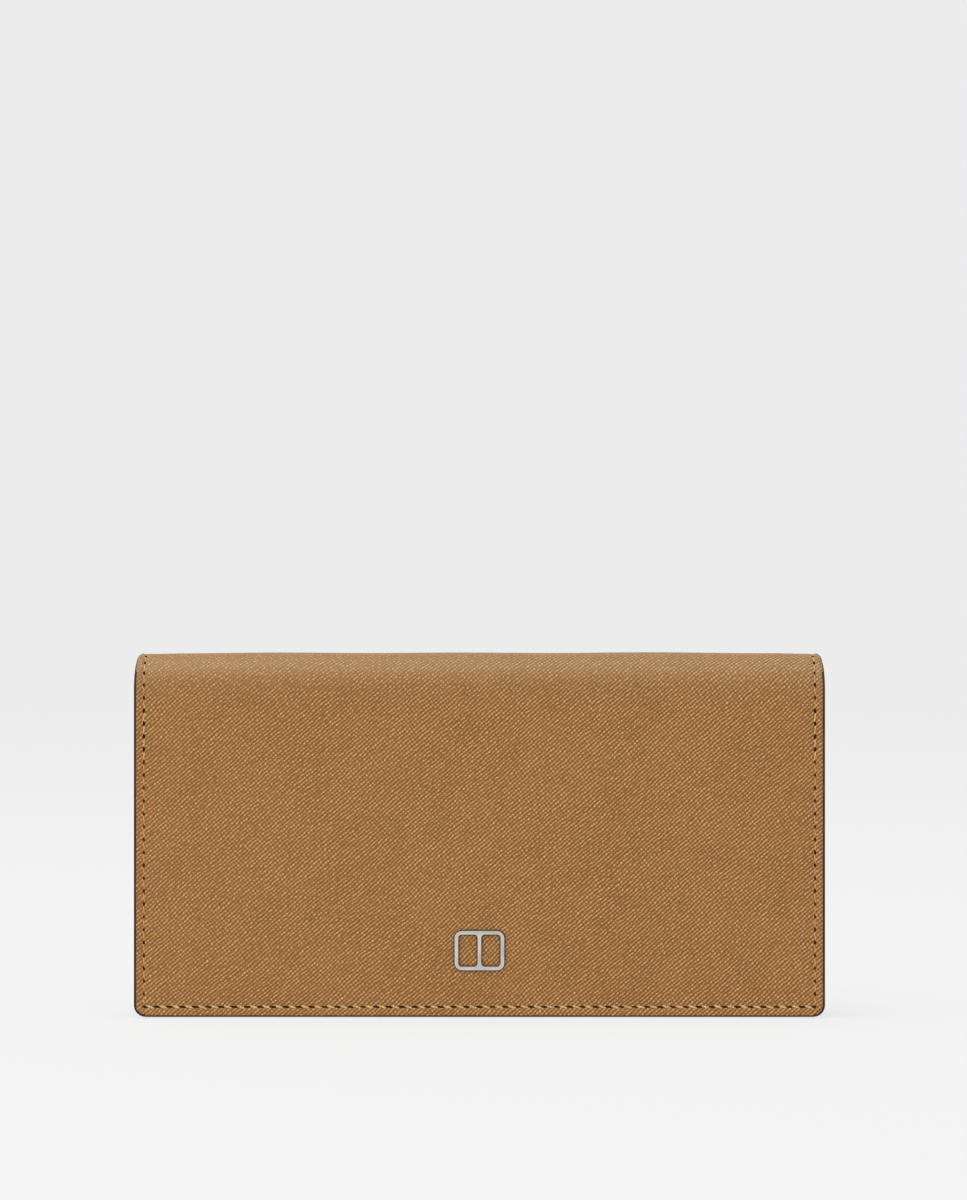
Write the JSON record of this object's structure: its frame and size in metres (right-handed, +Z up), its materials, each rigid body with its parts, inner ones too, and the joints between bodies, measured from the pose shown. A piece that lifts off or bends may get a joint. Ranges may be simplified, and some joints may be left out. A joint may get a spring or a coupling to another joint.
{
  "type": "long wallet",
  "caption": "Long flap wallet that stands closed, with card slots, gusseted note pockets, a zipped coin pocket and a snap.",
  "frame": {"origin": "middle of the lower edge that the closed wallet stands on, centred in width and depth", "axes": "+X across the wallet, +Y towards its back, +Z up to the folded top"},
  "size_m": [0.188, 0.0198, 0.099],
  "materials": {
    "crosshatch_leather": "tan leather pressed with a fine crossed grain",
    "slot_leather": "smooth tan leather",
    "board": "grey-brown stiffening board",
    "twill": "woven cotton lining",
    "zip_tape": "woven tape",
    "zip_coil": "coiled nylon",
    "nickel": "pale nickel plate over brass",
    "magnet": "pressed magnet ring"
  },
  "bodies": {
    "back": {"back_cover": "crosshatch_leather", "back_board": "board", "back_lining": "slot_leather", "rear_pocket_floor": "twill", "rear_gusset_left": "slot_leather", "rear_gusset_right": "slot_leather"},
    "spine_1": {"spine_cover_1": "crosshatch_leather", "spine_lining_1": "slot_leather"},
    "spine_2": {"spine_cover_2": "crosshatch_leather", "spine_lining_2": "slot_leather"},
    "spine_3": {"spine_cover_3": "crosshatch_leather", "spine_lining_3": "slot_leather"},
    "flap": {"flap_cover": "crosshatch_leather", "flap_board": "board", "flap_lining": "slot_leather", "flap_slot_1": "slot_leather", "flap_slot_2": "slot_leather", "flap_slot_3": "slot_leather", "snap_stud": "nickel", "snap_stud_washer": "nickel", "emblem": "nickel", "emblem_washer_left": "nickel", "emblem_washer_right": "nickel"},
    "coin_pocket": {"coin_panel_rear": "twill", "coin_panel_front": "twill", "coin_lining": "twill", "zip_tape_rear": "zip_tape", "zip_tape_front": "zip_tape", "zip_coil_rear": "zip_coil", "zip_coil_front": "zip_coil", "zip_stop_left": "nickel", "zip_stop_right": "nickel", "zip_tab_left": "slot_leather", "zip_tab_right": "slot_leather", "front_pocket_floor": "twill", "front_gusset_left": "slot_leather", "front_gusset_right": "slot_leather"},
    "card_block": {"card_backing": "twill", "card_slot_1": "slot_leather", "card_slot_2": "slot_leather", "card_slot_3": "slot_leather", "card_slot_4": "slot_leather", "snap_socket": "nickel", "snap_magnet": "magnet", "snap_socket_washer": "nickel"},
    "slider": {"zip_slider": "nickel"},
    "pull": {"zip_pull": "nickel"}
  },
  "joints": [
    {"name": "fold_1", "type": "hinge", "parent": "back", "child": "spine_1", "pos_m": [0, 0.00923, 0.09314], "axis": [-1, 0, 0], "range_deg": [0, 45]},
    {"name": "fold_2", "type": "hinge", "parent": "spine_1", "child": "spine_2", "pos_m": [0, 0.00409, 0.09828], "axis": [-1, 0, 0], "range_deg": [0, 45]},
    {"name": "fold_3", "type": "hinge", "parent": "spine_2", "child": "spine_3", "pos_m": [0, -0.00319, 0.09828], "axis": [-1, 0, 0], "range_deg": [0, 45]},
    {"name": "fold_4", "type": "hinge", "parent": "spine_3", "child": "flap", "pos_m": [0, -0.00833, 0.09314], "axis": [-1, 0, 0], "range_deg": [0, 45]},
    {"name": "rear_pocket_fan", "type": "hinge", "parent": "back", "child": "coin_pocket", "pos_m": [0, 0.00065, 0], "axis": [1, 0, 0], "range_deg": [0, 8], "deforming": ["rear_gusset_left", "rear_gusset_right"]},
    {"name": "front_pocket_fan", "type": "hinge", "parent": "coin_pocket", "child": "card_block", "pos_m": [0, -0.00355, 0], "axis": [1, 0, 0], "range_deg": [0, 8], "deforming": ["front_gusset_left", "front_gusset_right"]},
    {"name": "zip_slide", "type": "slide", "parent": "coin_pocket", "child": "slider", "axis": [1, 0, 0], "range_m": [0, 0.1468]},
    {"name": "pull_swing", "type": "hinge", "parent": "slider", "child": "pull", "pos_m": [-0.0734, 0.00315, 0.08135], "axis": [0, -1, 0], "range_deg": [0, 180]}
  ],
  "couplings": [
    {"joint": "fold_2", "follows": "fold_1", "ratio": 1},
    {"joint": "fold_3", "follows": "fold_1", "ratio": 1},
    {"joint": "fold_4", "follows": "fold_1", "ratio": 1},
    {"joint": "rear_pocket_fan", "follows": "fold_1", "ratio": 0.17777},
    {"joint": "front_pocket_fan", "follows": "fold_1", "ratio": 0.17777}
  ]
}
